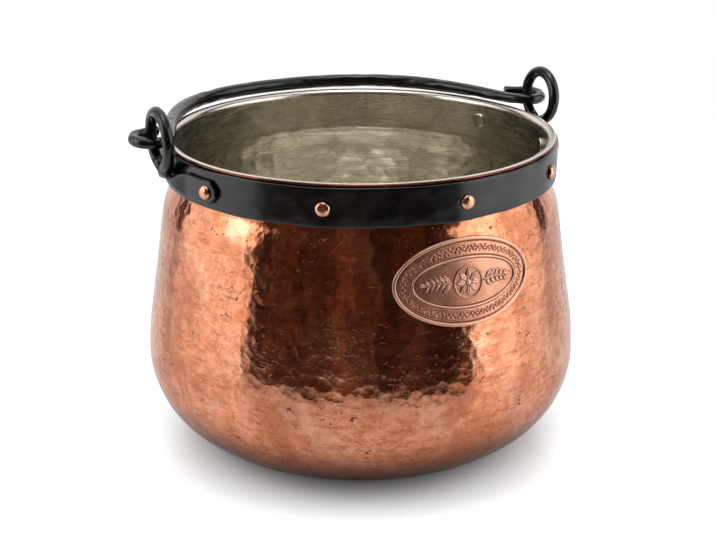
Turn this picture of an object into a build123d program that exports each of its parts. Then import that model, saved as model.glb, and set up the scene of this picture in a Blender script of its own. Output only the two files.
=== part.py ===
"""Copper cauldron with a riveted iron hoop, two forged ears and a swinging bail.

Lengths are in millimetres and angles in degrees. The origin is the centre of the base on the
floor, +Z is up, the ears are on the X axis and the oval plaque faces -Y. The bail is drawn
lying back on the rear rim, towards +Y.
"""

from build123d import *
import os
from math import acos, atan2, cos, degrees, hypot, radians, sin, sqrt, tan

# Pot
pot_height = 202.0
lip_radius = 125.0
lip_overhang = 3.7
lip_bend = 1.0
copper_wall = 1.4
tin_wall = 0.3
belly_swell = 20.7
belly_height = 58.6
base_radius = 71.5
heel_turn = 18.4
flank_radius = 158.0
shoulder_radius = 56.0
shoulder_turn = 20.3
throat_radius = 9.2
lip_round = 0.6

# Hoop
band_height = 23.8
band_thickness = 5.0
band_gap = 0.2
band_round = 0.6
throat_drop = 0.5

# Rivets
rivet_shank = 5.0
rivet_head = 9.2
rivet_dome = 2.6
rivet_drop = 14.5
inner_head = 10.0
inner_head_thickness = 1.3
inner_head_bevel = 0.5
hole_clearance = 0.1
head_clearance = 0.02
band_rivet_pitch = 38.5
band_rivet_turn = 2.4
band_rivet_count = 3

# Ears
ear_rod = 7.0
eye_radius = 16.5
foot_radius = 4.2
leg_gap = 0.6
ear_lean = 2.0
right_stand = 6.8
left_stand = 3.8
ear_rivet_angle = 19.0
tab_height = 14.0
tab_thickness = 2.8
tab_reach = 7.0
tab_clip = 4.2
tab_flare = 16.0
tab_round = 1.0

# Bail
bail_rod = 9.0
hook_rod = 7.0
rest_gap = 0.3
reach_outset = 3.8
arch_fullness = 0.86
side_fullness = 0.2
side_slant = 40.0
hook_corner = 10.4
eye_gap = 1.6
hook_gap = 1.1
hook_turn = 160.0
hook_tip = 12.0
hook_lean = 4.0
taper_length = 95.0
arch_sections = 6

# Plaque
plaque_length = 90.6
plaque_width = 51.0
plaque_drop = 60.9
plaque_azimuth = 1.6
plaque_tilt = -1.5
plaque_thickness = 1.6
plaque_rim_height = 2.4
plaque_rim_width = 2.2
inner_line_inset = 10.5
inner_line_width = 1.4
inner_line_height = 2.1

# Sizes that follow from the ones above
neck_radius = lip_radius - lip_overhang
belly_radius = neck_radius + belly_swell
lip_seat = pot_height - copper_wall - tin_wall
inside_radius = neck_radius - copper_wall - tin_wall
band_outer = neck_radius + band_thickness
band_top = lip_seat - band_gap
band_bottom = band_top - band_height
neck_foot = band_bottom - throat_drop
rivet_level = pot_height - rivet_drop
axis_height = pot_height + rest_gap + bail_rod / 2
shank_hole = rivet_shank / 2 + hole_clearance / 2
tab_outer = band_outer + tab_thickness
rod_outer = band_outer + ear_rod / 2

# Two arcs make the lower bowl: the flat heel arc, and the belly arc that ends upright at the girth.
heel_sin = sin(radians(heel_turn))
heel_cos = cos(radians(heel_turn))
bowl_width = belly_radius - base_radius
bowl_share = heel_sin + heel_cos - 1
heel_radius = (bowl_width * heel_cos - belly_height * (1 - heel_sin)) / bowl_share
belly_arc = (belly_height * heel_sin - bowl_width * (1 - heel_cos)) / bowl_share

# Above the girth the wall turns in by flank_lean, runs straight, turns in again at the shoulder
# and comes back upright at the throat. The lean and the straight run close that chain.
upper_width = belly_radius - neck_radius
upper_height = neck_foot - belly_height
turn_cos = cos(radians(shoulder_turn))
lean_across = flank_radius + throat_radius - upper_width
lean_target = flank_radius - shoulder_radius * (1 - turn_cos) + throat_radius * turn_cos
lean_span = hypot(lean_across, upper_height)
flank_lean = degrees(atan2(upper_height, lean_across) - acos(lean_target / lean_span))
throat_turn = flank_lean + shoulder_turn
flank_rise = flank_radius * sin(radians(flank_lean))
shoulder_rise = shoulder_radius * (sin(radians(throat_turn)) - sin(radians(flank_lean)))
throat_rise = throat_radius * sin(radians(throat_turn))
side_rise = upper_height - flank_rise - shoulder_rise - throat_rise
side_run = side_rise / cos(radians(flank_lean))

os.makedirs("parts", exist_ok=True)


def radial(azimuth):
    """The level direction that points out from the pot's axis at an azimuth."""
    return Vector(cos(radians(azimuth)), sin(radians(azimuth)), 0)


def upper_wall(start, inset):
    """Draw the wall from the girth up to the neck and return its two ends."""
    flank = JernArc(start, (0, 1), flank_radius - inset, flank_lean)
    side = Line(flank @ 1, flank @ 1 + flank % 1 * side_run)
    shoulder = JernArc(side @ 1, side % 1, shoulder_radius - inset, shoulder_turn)
    throat = JernArc(shoulder @ 1, shoulder % 1, throat_radius + inset, -throat_turn)
    return flank @ 0, throat @ 1


def skin(inset):
    """Draw the pot's half outline, a distance inside its outer skin, and return its two ends."""
    floor = Line((0, inset), (base_radius, inset))
    heel = JernArc(floor @ 1, (1, 0), heel_radius - inset, heel_turn)
    belly = JernArc(heel @ 1, heel % 1, belly_arc - inset, 90 - heel_turn)
    wall_ends = upper_wall(belly @ 1, inset)
    neck = Line(wall_ends[1], (neck_radius - inset, lip_seat - lip_bend))
    bend = JernArc(neck @ 1, (0, 1), lip_bend + inset, -90)
    edge = Line(bend @ 1, (lip_radius, lip_seat + inset))
    return floor @ 0, edge @ 1


def wall_on_belly(inset):
    """Draw the upper wall alone, for a piece that lies on the belly, and return its two ends."""
    return upper_wall((belly_radius - inset, belly_height), inset)


def turned_layer(outline, near, far):
    """Turn the layer between two copies of an outline, inset by two distances, about the axis."""
    with BuildPart() as layer:
        with BuildSketch(Plane.XZ):
            with BuildLine():
                near_ends = outline(near)
                far_ends = outline(far)
                Line(near_ends[0], far_ends[0])
                Line(near_ends[1], far_ends[1])
            make_face()
        revolve(axis=Axis.Z)
    return layer.part


def band_rivet_azimuths(middle):
    """Azimuths of one row of hoop rivets about the middle one."""
    first = middle - band_rivet_pitch * (band_rivet_count - 1) / 2
    return [first + band_rivet_pitch * n for n in range(band_rivet_count)]


right_azimuths = [-ear_rivet_angle, ear_rivet_angle]
left_azimuths = [180 - ear_rivet_angle, 180 + ear_rivet_angle]
front_azimuths = band_rivet_azimuths(band_rivet_turn - 90)
back_azimuths = band_rivet_azimuths(band_rivet_turn + 90)
ear_azimuths = right_azimuths + left_azimuths
hoop_azimuths = front_azimuths + back_azimuths

# The radial holes for the rivets' shanks, cut from every piece that the rivets go through
with BuildPart() as shank_holes:
    for azimuth in ear_azimuths + hoop_azimuths:
        with BuildSketch(Plane((0, 0, rivet_level), z_dir=radial(azimuth))):
            Circle(shank_hole)
        extrude(amount=2 * lip_radius)

# Pot, one hammered sheet of copper
with BuildPart() as pot_body:
    add(turned_layer(skin, 0, copper_wall))
    lip_edges = pot_body.edges().filter_by_position(Axis.Z, lip_seat - lip_round, lip_seat + lip_round)
    fillet(lip_edges.sort_by(SortBy.RADIUS)[-1], lip_round)
    add(shank_holes.part, mode=Mode.SUBTRACT)
pot_body.part.label = "pot_body"
export_step(pot_body.part, "parts/pot_body.step")

# Tin, wiped over the inside and the top of the lip
with BuildPart() as tin_lining:
    add(turned_layer(skin, copper_wall, copper_wall + tin_wall))
    add(shank_holes.part, mode=Mode.SUBTRACT)
tin_lining.part.label = "tin_lining"
export_step(tin_lining.part, "parts/tin_lining.step")

# Iron hoop round the neck, bevelled inside to clear the bend of the lip
with BuildPart() as rim_band:
    with BuildSketch(Plane.XZ) as band_section:
        with Locations((neck_radius, band_bottom)):
            Rectangle(band_thickness, band_height, align=(Align.MIN, Align.MIN))
        chamfer(band_section.vertices().sort_by(Axis.X)[:2], lip_bend + band_gap)
        fillet(band_section.vertices().sort_by(Axis.X)[-2:], band_round)
    revolve(axis=Axis.Z)
    add(shank_holes.part, mode=Mode.SUBTRACT)
rim_band.part.label = "rim_band"
export_step(rim_band.part, "parts/rim_band.step")

# Ears. The rod's centre line makes almost a full turn for the eye, in a plane that stands out from
# the hoop and leans a little, and two short legs curl in from there to the feet on the hoop.
foot_across = foot_radius + ear_rod / 2 + leg_gap / 2
eye_rise = foot_radius + sqrt((eye_radius + foot_radius) ** 2 - foot_across ** 2)
eye_join = degrees(atan2(eye_rise - foot_radius, foot_across))
leg_pull = foot_radius * tan(radians(90 + eye_join) / 4) * 4 / 3
flare_angle = degrees((foot_across + tab_flare) / tab_outer)

# The rod's end is flattened into a tab that lies on the hoop
tab_start = foot_across - tab_outer * sin(radians(ear_rivet_angle))
tab_full = tab_start + tab_flare
tab_plane = Plane(
    (0, 0, rivet_level),
    x_dir=radial(ear_rivet_angle + 90),
    z_dir=radial(ear_rivet_angle),
)
with BuildPart() as tab:
    with BuildSketch(Plane.XY.offset(rivet_level - tab_height / 2)):
        Circle(tab_outer)
        Circle(band_outer, mode=Mode.SUBTRACT)
    extrude(amount=tab_height)
    with BuildSketch(tab_plane) as tab_outline:
        with BuildLine():
            upper_edge = Polyline(
                (tab_start, 0),
                (tab_start, ear_rod / 2),
                (tab_full, tab_height / 2),
                (tab_reach - tab_clip, tab_height / 2),
                (tab_reach, tab_height / 2 - tab_clip),
                (tab_reach, 0),
            )
            mirror(upper_edge, about=Plane.XZ)
        make_face()
        fillet(tab_outline.vertices().sort_by(Axis.X)[2:], tab_round)
    extrude(amount=2 * lip_radius, mode=Mode.INTERSECT)

# Between the eye and the tab the rod thins down from round to flat
flare_plane = Plane(
    radial(flare_angle) * (band_outer + tab_thickness / 2) + Vector(0, 0, rivet_level),
    x_dir=radial(flare_angle),
    z_dir=radial(flare_angle + 90),
)
with BuildPart() as foot:
    with BuildSketch(Plane((rod_outer, foot_across, rivet_level), x_dir=(1, 0, 0), z_dir=(0, 1, 0))):
        Circle(ear_rod / 2)
    with BuildSketch(flare_plane):
        Circle(tab_thickness / 2)
    loft()

def forge_ear(stand):
    """The right-hand ear, with its eye standing some distance out from its feet."""
    lean_out = Vector(cos(radians(ear_lean)), 0, -sin(radians(ear_lean)))
    eye_plane = Plane((rod_outer + stand, 0, rivet_level), x_dir=(0, 1, 0), z_dir=lean_out)
    first_foot = Vector(rod_outer, -foot_across, rivet_level)
    last_foot = Vector(rod_outer, foot_across, rivet_level)
    along = Vector(0, leg_pull, 0)
    with BuildPart() as ear:
        with BuildLine(eye_plane) as ear_path:
            eye = CenterArc((0, eye_rise), eye_radius, 180 + eye_join, -180 - 2 * eye_join)
            Bezier(first_foot, first_foot + along, eye @ 0 - eye % 0 * leg_pull, eye @ 0)
            Bezier(eye @ 1, eye @ 1 + eye % 1 * leg_pull, last_foot - along, last_foot)
        with BuildSketch(ear_path.line ^ 0):
            Circle(ear_rod / 2)
        sweep(path=ear_path.line)
        add(foot.part)
        add(tab.part)
        mirror(foot.part, about=Plane.XZ)
        mirror(tab.part, about=Plane.XZ)
        with BuildSketch(Plane.XY.offset(rivet_level - tab_height)):
            Circle(band_outer)
        extrude(amount=2 * tab_height, mode=Mode.SUBTRACT)
        add(shank_holes.part, mode=Mode.SUBTRACT)
    return ear.part


right_ear = forge_ear(right_stand)
right_ear.label = "right_ear"
export_step(right_ear, "parts/right_ear.step")

with BuildPart() as left_ear:
    mirror(forge_ear(left_stand), about=Plane.YZ)
left_ear.part.label = "left_ear"
export_step(left_ear.part, "parts/left_ear.step")


def make_rivet(seat, has_inner_head):
    """A rivet along +X with a domed head seated at a radius, and its other end inside the neck."""
    inner_end = sqrt(inside_radius**2 - inner_head**2 / 4) - head_clearance
    low_end = inner_end - inner_head_thickness
    head_corners = [
        (low_end, 0),
        (low_end, inner_head / 2 - inner_head_bevel),
        (low_end + inner_head_bevel, inner_head / 2),
        (inner_end, inner_head / 2),
    ]
    with BuildPart() as rivet:
        with BuildSketch(Plane.XZ):
            with BuildLine():
                corners = head_corners if has_inner_head else [(inner_end, 0)]
                Polyline(
                    *corners,
                    (inner_end, rivet_shank / 2),
                    (seat, rivet_shank / 2),
                    (seat, rivet_head / 2),
                )
                TangentArc((seat + rivet_dome, 0), (seat, rivet_head / 2), tangent=(0, 1))
                Line((seat + rivet_dome, 0), corners[0])
            make_face()
        revolve(axis=Axis.X)
    return rivet.part


def set_rivets(rivet, azimuths):
    """Place a rivet at each azimuth, as separate solids."""
    for azimuth in azimuths:
        with Locations(Location((0, 0, rivet_level), (0, 0, azimuth))):
            add(rivet)


ear_rivet = make_rivet(tab_outer, True)
band_rivet = make_rivet(band_outer, False)

with BuildPart() as left_ear_rivets:
    set_rivets(ear_rivet, left_azimuths)
left_ear_rivets.part.label = "left_ear_rivets"
export_step(left_ear_rivets.part, "parts/left_ear_rivets.step")

with BuildPart() as right_ear_rivets:
    set_rivets(ear_rivet, right_azimuths)
right_ear_rivets.part.label = "right_ear_rivets"
export_step(right_ear_rivets.part, "parts/right_ear_rivets.step")

with BuildPart() as front_band_rivets:
    set_rivets(band_rivet, front_azimuths)
front_band_rivets.part.label = "front_band_rivets"
export_step(front_band_rivets.part, "parts/front_band_rivets.step")

with BuildPart() as back_band_rivets:
    set_rivets(band_rivet, back_azimuths)
back_band_rivets.part.label = "back_band_rivets"
export_step(back_band_rivets.part, "parts/back_band_rivets.step")

# Bail. Half of its centre line runs from the middle of the arch along a full oval, turns out
# through the ear's eye behind the hinge axis, and goes round the hook to its cut end. The bail
# hangs halfway between the two eyes. Lying down, the hook's arm clears the side of the eye, and
# standing up, the hook clears the top of the eye.
bail_shift = (right_stand - left_stand) / 2
axis_on_eye = (axis_height - rivet_level) / cos(radians(ear_lean))
eye_at_axis = rod_outer + (right_stand + left_stand) / 2 + axis_on_eye * sin(radians(ear_lean))
eye_side = sqrt(eye_radius**2 - (eye_rise - axis_on_eye) ** 2)
eye_over = eye_rise + eye_radius - axis_on_eye
hook_inset = eye_side - ear_rod / 2 - eye_gap - hook_rod / 2
hook_radius = (eye_over + ear_rod / 2 + hook_gap + hook_rod / 2 - hook_inset) / 2
bail_reach = lip_radius + reach_outset
slant_sin = sin(radians(side_slant))
slant_cos = cos(radians(side_slant))
side_end = (eye_at_axis - hook_corner * slant_cos, hook_inset + hook_corner * (1 - slant_sin))
side_pull = side_fullness * (bail_reach - side_end[1])
bail_plane = Plane((bail_shift, 0, axis_height))
curl_plane = Plane((bail_shift, hook_inset, axis_height)).rotated((hook_lean, 0, 0))


def arch_radius(share):
    """The rod's radius along half the arch: thick in the hand, easing down to the hook."""
    thick = min((1 - share) * arch.length / taper_length, 1)
    return hook_rod / 2 + (bail_rod - hook_rod) / 2 * thick * thick * (3 - 2 * thick)


with BuildLine(bail_plane) as arch_path:
    arch = Bezier(
        (0, bail_reach),
        (side_end[0] * arch_fullness, bail_reach),
        (side_end[0] - side_pull * slant_sin, side_end[1] + side_pull * slant_cos),
        side_end,
    )

# The hook's curl leans up a little about its arm, so its cut end stands over the arm
with BuildLine(bail_plane) as corner_path:
    JernArc(side_end, (slant_sin, -slant_cos), hook_corner, 90 - side_slant)
with BuildLine(curl_plane) as curl_path:
    curl = JernArc((eye_at_axis, 0), (1, 0), hook_radius, hook_turn)
    tip = Line(curl @ 1, curl @ 1 + curl % 1 * hook_tip)

with BuildPart() as bail_handle:
    for n in range(arch_sections + 1):
        share = n / arch_sections
        with BuildSketch(Plane(arch @ share, x_dir=(0, 0, 1), z_dir=arch % share)):
            Circle(arch_radius(share))
    sweep(path=arch_path.line, multisection=True)
    for path in (corner_path, curl_path):
        with BuildSketch(Plane(path.line @ 0, x_dir=(0, 0, 1), z_dir=path.line % 0)):
            Circle(hook_rod / 2)
        sweep(path=path.line)
    mirror(about=Plane.YZ.offset(bail_shift))
bail_handle.part.label = "bail_handle"
export_step(bail_handle.part, "parts/bail_handle.step")

# Plaque, bent to the belly, with a raised rim and a raised line round its inner field
plaque_plane = Plane(
    (0, 0, pot_height - plaque_drop),
    x_dir=radial(plaque_azimuth),
    z_dir=radial(plaque_azimuth - 90),
).rotated((0, 0, plaque_tilt))


def oval_layer(rise, inset, width):
    """A layer on the belly: a full oval inset from the plaque's edge, or a ring of some width."""
    with BuildPart() as layer:
        add(turned_layer(wall_on_belly, -rise, 0))
        with BuildSketch(plaque_plane):
            Ellipse(plaque_length / 2 - inset, plaque_width / 2 - inset)
            if width:
                far = inset + width
                Ellipse(plaque_length / 2 - far, plaque_width / 2 - far, mode=Mode.SUBTRACT)
        extrude(amount=2 * lip_radius, mode=Mode.INTERSECT)
    return layer.part


with BuildPart() as oval_plaque:
    add(oval_layer(plaque_thickness, 0, 0))
    add(oval_layer(plaque_rim_height, 0, plaque_rim_width))
    add(oval_layer(inner_line_height, inner_line_inset, inner_line_width))
oval_plaque.part.label = "oval_plaque"
export_step(oval_plaque.part, "parts/oval_plaque.step")
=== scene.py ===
"""The looks of a copper cauldron: hammered copper pot, tin lining, black iron hoop, ears and bail,
copper rivets and an oval plaque, on a plain pale floor. Lengths are in metres."""

from math import acos, asin, atan2, ceil, cos, degrees, hypot, pi, radians, sin, sqrt, tan

import bpy
import numpy as np
from bpy.props import FloatProperty, FloatVectorProperty, IntProperty, PointerProperty
from mathutils import Matrix, Vector


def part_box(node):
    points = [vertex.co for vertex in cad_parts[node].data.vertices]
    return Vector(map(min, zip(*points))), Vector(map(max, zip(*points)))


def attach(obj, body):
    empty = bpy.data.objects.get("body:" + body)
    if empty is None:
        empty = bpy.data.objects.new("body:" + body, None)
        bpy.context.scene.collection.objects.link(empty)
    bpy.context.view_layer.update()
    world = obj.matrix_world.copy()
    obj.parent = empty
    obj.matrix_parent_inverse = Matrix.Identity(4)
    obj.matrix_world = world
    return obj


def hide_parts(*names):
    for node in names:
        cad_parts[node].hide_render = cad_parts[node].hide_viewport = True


bl_info = {
    "name": "Copper cauldron",
    "version": (1, 0, 0),
    "blender": (4, 5, 0),
    "location": "3D View > Sidebar > Cauldron",
    "description": "Builds the hammered copper, tin and forged iron of a cooking cauldron",
    "category": "Object",
}

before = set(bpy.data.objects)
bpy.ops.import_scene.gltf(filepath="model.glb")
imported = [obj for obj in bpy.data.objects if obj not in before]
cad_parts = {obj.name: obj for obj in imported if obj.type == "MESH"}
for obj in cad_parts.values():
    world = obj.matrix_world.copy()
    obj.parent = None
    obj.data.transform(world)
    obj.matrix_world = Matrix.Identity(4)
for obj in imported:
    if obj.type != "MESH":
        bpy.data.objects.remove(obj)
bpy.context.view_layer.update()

# Pot outline, the same sizes as in the part's source
pot_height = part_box("tin_lining")[1].z
lip_radius = 0.125
lip_overhang = 0.0037
lip_bend = 0.001
copper_wall = 0.0014
tin_wall = 0.0003
belly_swell = 0.0207
belly_height = 0.0586
base_radius = 0.0715
heel_turn = 18.4
flank_radius = 0.158
shoulder_radius = 0.056
shoulder_turn = 20.3
throat_radius = 0.0092

# Hoop, ears and rivets
band_height = 0.0238
band_thickness = 0.005
band_gap = 0.0002
throat_drop = 0.0005
rivet_head = 0.0092
rivet_dome = 0.0026
rivet_drop = 0.0145
inner_head = 0.010
inner_head_thickness = 0.0013
band_rivet_pitch = 38.5
band_rivet_turn = 2.4
ear_rod = 0.007
eye_radius = 0.0165
foot_radius = 0.0042
leg_gap = 0.0006
ear_lean = 2.0
right_stand = 0.0068
left_stand = 0.0038
ear_rivet_angle = 19.0
tab_height = 0.014
tab_thickness = 0.0028
tab_reach = 0.007
tab_clip = 0.0042
tab_flare = 0.016

# Bail
bail_rod = 0.009
hook_rod = 0.007
rest_gap = 0.0003
reach_outset = 0.0038
arch_fullness = 0.86
side_fullness = 0.2
side_slant = 40.0
hook_corner = 0.0104
eye_gap = 0.0016
hook_gap = 0.0011
hook_turn = 160.0
hook_tip = 0.012
hook_lean = 4.0
taper_length = 0.095

# Plaque
plaque_length = 0.0906
plaque_width = 0.051
plaque_drop = 0.0609
plaque_azimuth = 1.6
plaque_tilt = -1.5
plaque_thickness = 0.0016
plaque_rim_height = 0.0024
plaque_rim_width = 0.0022
inner_line_inset = 0.0105
inner_line_width = 0.0014
inner_line_height = 0.0021

# Places that follow from the sizes above
neck_radius = lip_radius - lip_overhang
belly_radius = neck_radius + belly_swell
lip_seat = pot_height - copper_wall - tin_wall
inside_radius = neck_radius - copper_wall - tin_wall
band_outer = neck_radius + band_thickness
band_top = lip_seat - band_gap
band_bottom = band_top - band_height
neck_foot = band_bottom - throat_drop
rivet_level = pot_height - rivet_drop
axis_height = pot_height + rest_gap + bail_rod / 2
tab_outer = band_outer + tab_thickness
rod_outer = band_outer + ear_rod / 2
foot_across = foot_radius + ear_rod / 2 + leg_gap / 2
eye_rise = foot_radius + sqrt((eye_radius + foot_radius) ** 2 - foot_across**2)
eye_join = atan2(eye_rise - foot_radius, foot_across)
leg_pull = foot_radius * tan((pi / 2 + eye_join) / 4) * 4 / 3
bail_shift = (right_stand - left_stand) / 2

# The camera of the photograph, aimed from the lip's middle
camera_azimuth = -116.4
camera_elevation = 14.02
camera_distance = 0.8425
camera_down = 20.18
camera_aside = 0.12
camera_lens = 65.36
camera_clip = (0.05, 50)

# Lamps
lamp_distance = 0.95
lamp_width = 0.47
lamp_height = 1.1
left_split = 0.3
top_lamp_side = 0.5
top_lamp_height = 1.45
lamp_colour = (1.0, 0.995, 0.985)

# Hammer marks: their scatter as shares of the pitch, the least depth and the softness of the
# ridges between them as shares of the depth, and the tilt of their floors on each piece
row_scatter = 0.18
around_scatter = 0.32
along_scatter = 0.3
least_depth = 0.45
ridge_softness = 0.035
exponent_limit = 60
pot_mark_tilt = 0.012
tin_mark_tilt = 0.02
hoop_mark_tilt = 0.012
bar_mark_tilt = 0.02

# Long swells of each piece: length and height
pot_swell_length = 0.055
tin_swell_length, tin_swell_height = 0.05, 0.0001
hoop_swell_length, hoop_swell_height = 0.06, 0.0001
rim_swell_length, rim_swell_height = 0.05, 0.00018

# Fineness of the meshes
hidden_step = 0.006
lip_rings = 7
hoop_columns = 480
ear_columns = 30
bail_columns = 36
rivet_columns = 48
plaque_columns = 720
floor_columns = 240


def outline_segments():
    """The pot's outer half outline, from the middle of the base to the lip.

    A straight stretch is its length and 0, an arc is its radius and the angle that it turns.
    """
    heel_sin = sin(radians(heel_turn))
    heel_cos = cos(radians(heel_turn))
    bowl_width = belly_radius - base_radius
    bowl_share = heel_sin + heel_cos - 1
    heel_radius = (bowl_width * heel_cos - belly_height * (1 - heel_sin)) / bowl_share
    belly_arc = (belly_height * heel_sin - bowl_width * (1 - heel_cos)) / bowl_share
    upper_width = belly_radius - neck_radius
    upper_height = neck_foot - belly_height
    turn_cos = cos(radians(shoulder_turn))
    lean_across = flank_radius + throat_radius - upper_width
    lean_target = flank_radius - shoulder_radius * (1 - turn_cos) + throat_radius * turn_cos
    lean_span = hypot(lean_across, upper_height)
    flank_lean = degrees(atan2(upper_height, lean_across) - acos(lean_target / lean_span))
    throat_turn = flank_lean + shoulder_turn
    flank_rise = flank_radius * sin(radians(flank_lean))
    shoulder_rise = shoulder_radius * (sin(radians(throat_turn)) - sin(radians(flank_lean)))
    throat_rise = throat_radius * sin(radians(throat_turn))
    side_run = (upper_height - flank_rise - shoulder_rise - throat_rise) / cos(radians(flank_lean))
    return [
        (base_radius, 0),
        (heel_radius, heel_turn),
        (belly_arc, 90 - heel_turn),
        (flank_radius, flank_lean),
        (side_run, 0),
        (shoulder_radius, shoulder_turn),
        (throat_radius, -throat_turn),
        (lip_seat - lip_bend - neck_foot, 0),
        (lip_bend, -90),
        (lip_overhang - lip_bend, 0),
    ]


def walk_outline(step):
    """Rows of radius, height, heading and length walked, about one step apart."""
    rows = [(0.0, 0.0, 0.0, 0.0)]
    radius = height = heading = walked = 0.0
    for size, turn in outline_segments():
        length = size * radians(abs(turn)) if turn else size
        count = max(2, ceil(length / step))
        bend = radians(turn) / count
        chord = 2 * size * sin(abs(bend) / 2) if turn else length / count
        for _ in range(count):
            radius += chord * cos(heading + bend / 2)
            height += chord * sin(heading + bend / 2)
            heading += bend
            walked += length / count
            rows.append((radius, height, heading, walked))
    return np.array(rows)


def spin(radii, heights, azimuths):
    """Rings of points from radii and heights, one row each, at the azimuths."""
    across, away = radii * np.cos(azimuths), radii * np.sin(azimuths)
    return np.stack([across, away, heights + 0 * azimuths], -1)


def full_turn(columns):
    """Azimuths of the columns round a ring."""
    return np.linspace(0, 2 * pi, columns, endpoint=False)


def unit(vector):
    """The vector made 1 long."""
    return vector / np.linalg.norm(vector)


def length_along(points):
    """Length walked along a line of points, at each point."""
    steps = np.linalg.norm(np.diff(points, axis=0), axis=1)
    return np.concatenate([[0], np.cumsum(steps)])


def ease(low, high, values):
    """0 below low, 1 above high and a smooth ramp between."""
    share = np.clip((values - low) / (high - low), 0, 1)
    return share * share * (3 - 2 * share)


def hammer_marks(rng, walked, girth, turns, pitch, depth, hollow, tilt):
    """Heights, zero or less, of rows of overlapping hammer marks on a wrapped surface.

    walked and girth are the length and the radius of each row, turns are the azimuths of the
    columns, and hollow holds a mark's radius of curvature round the surface and along it.
    """
    across, along = hollow
    soft = depth * ridge_softness
    rings = []
    for n in range(-2, ceil(walked[-1] / pitch) + 3):
        level = n * pitch + rng.uniform(-row_scatter, row_scatter) * pitch
        radius = float(np.interp(level, walked, girth))
        count = max(3, round(2 * pi * radius / pitch))
        rings.append(
            {
                "count": count,
                "phase": rng.uniform(0, 1),
                "azimuth": rng.uniform(-around_scatter, around_scatter, count),
                "level": level + rng.uniform(-along_scatter, along_scatter, count) * pitch,
                "depth": depth * rng.uniform(least_depth, 1.0, count),
                "tilt": rng.normal(0, tilt, (2, count)),
            }
        )
    marks = np.zeros((len(walked), len(turns)))
    for row, (length, radius) in enumerate(zip(walked, girth)):
        nearest = round(length / pitch) + 2
        total = np.ones(len(turns))
        for ring in rings[max(0, nearest - 2): nearest + 3]:
            count = ring["count"]
            place = turns / (2 * pi) * count - ring["phase"]
            for near in (-1, 0, 1):
                mark = np.round(place).astype(int) + near
                index = mark % count
                aside = (place - mark - ring["azimuth"][index]) * 2 * pi * radius / count
                up = length - ring["level"][index]
                bowl = aside * aside / (2 * across) + up * up / (2 * along) - ring["depth"][index]
                bowl = bowl + ring["tilt"][0][index] * aside + ring["tilt"][1][index] * up
                total = total + np.exp(np.clip(-bowl / soft, -exponent_limit, exponent_limit))
        marks[row] = -soft * np.log(total)
    return marks


def slow_waves(rng, walked, turns, amount, length, girth):
    """Long low swells over a wrapped surface, as rows and columns."""
    count = 9
    longest_round, longest_up, shortest = 1.8, 2.0, 0.7
    waves = np.zeros((len(walked), len(turns)))
    for _ in range(count):
        round_length = length * rng.uniform(shortest, longest_round)
        round_count = max(1, round(2 * pi * girth / round_length))
        upward = 2 * pi / (length * rng.uniform(shortest, longest_up)) * rng.choice((-1, 1))
        phase = rng.uniform(0, 2 * pi)
        waves += np.sin(round_count * turns[None, :] + upward * walked[:, None] + phase)
    return waves * amount / sqrt(count)


def ring_faces(rows, columns, joined):
    """Four-cornered faces between neighbouring rings, and from the last to the first if joined."""
    first = np.arange(rows * columns).reshape(rows, columns)
    if joined:
        first = np.vstack([first, first[:1]])
    low, high = first[:-1], first[1:]
    corners = [low, np.roll(low, -1, 1), np.roll(high, -1, 1), high]
    return np.stack(corners, -1).reshape(-1, 4).tolist()


def ring_mesh(name, rings, joined=False):
    """A closed mesh through rings of points, joined end to end or closed by a fan at each end."""
    rows, columns = rings.shape[:2]
    points = rings.reshape(-1, 3)
    faces = ring_faces(rows, columns, joined)
    if not joined:
        points = np.vstack([points, rings[0].mean(0), rings[-1].mean(0)])
        low, high = rows * columns, rows * columns + 1
        last = (rows - 1) * columns
        for n in range(columns):
            after = (n + 1) % columns
            faces.append((low, after, n))
            faces.append((high, last + n, last + after))
    mesh = bpy.data.meshes.new(name)
    mesh.from_pydata(points.tolist(), [], faces)
    mesh.polygons.foreach_set("use_smooth", np.ones(len(faces), bool))
    mesh.validate()
    return mesh


def store(mesh, name, values, rest=0.0):
    """Keep a number for each point, for the material to read; points past the rings get rest."""
    padded = np.full(len(mesh.vertices), rest, np.float32)
    padded[: values.size] = values.ravel()
    mesh.attributes.new(name, "FLOAT", "POINT").data.foreach_set("value", padded)


def join_meshes(name, meshes):
    """One mesh from several, as separate closed shells."""
    points, faces = [], []
    for mesh in meshes:
        start = len(points)
        points += [tuple(v.co) for v in mesh.vertices]
        faces += [[start + i for i in p.vertices] for p in mesh.polygons]
    joined = bpy.data.meshes.new(name)
    joined.from_pydata(points, [], faces)
    joined.polygons.foreach_set("use_smooth", np.ones(len(faces), bool))
    return joined


def show(name, mesh, material, body, slot, *nodes):
    """Add a piece to the scene in place of CAD nodes, riding on a body."""
    piece = bpy.data.objects.new(name, mesh)
    bpy.context.scene.collection.objects.link(piece)
    mesh.materials.append(material)
    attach(piece, body)
    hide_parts(*nodes)
    return piece


def add_node(tree, kind, inputs=None, **settings):
    """Add a shader node; an input is given as a value or as the socket that feeds it."""
    made = tree.nodes.new(kind)
    for key, value in settings.items():
        setattr(made, key, value)
    for key, value in (inputs or {}).items():
        if isinstance(value, bpy.types.NodeSocket):
            tree.links.new(value, made.inputs[key])
        else:
            made.inputs[key].default_value = value
    return made


def new_material(name):
    """A material with one principled shader, its tree and the place on the object."""
    material = bpy.data.materials.new(name)
    material.use_nodes = True
    tree = material.node_tree
    tree.nodes.clear()
    shader = add_node(tree, "ShaderNodeBsdfPrincipled")
    output = add_node(tree, "ShaderNodeOutputMaterial")
    tree.links.new(shader.outputs[0], output.inputs[0])
    place = add_node(tree, "ShaderNodeTexCoord").outputs["Object"]
    return material, tree, shader, place


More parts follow.
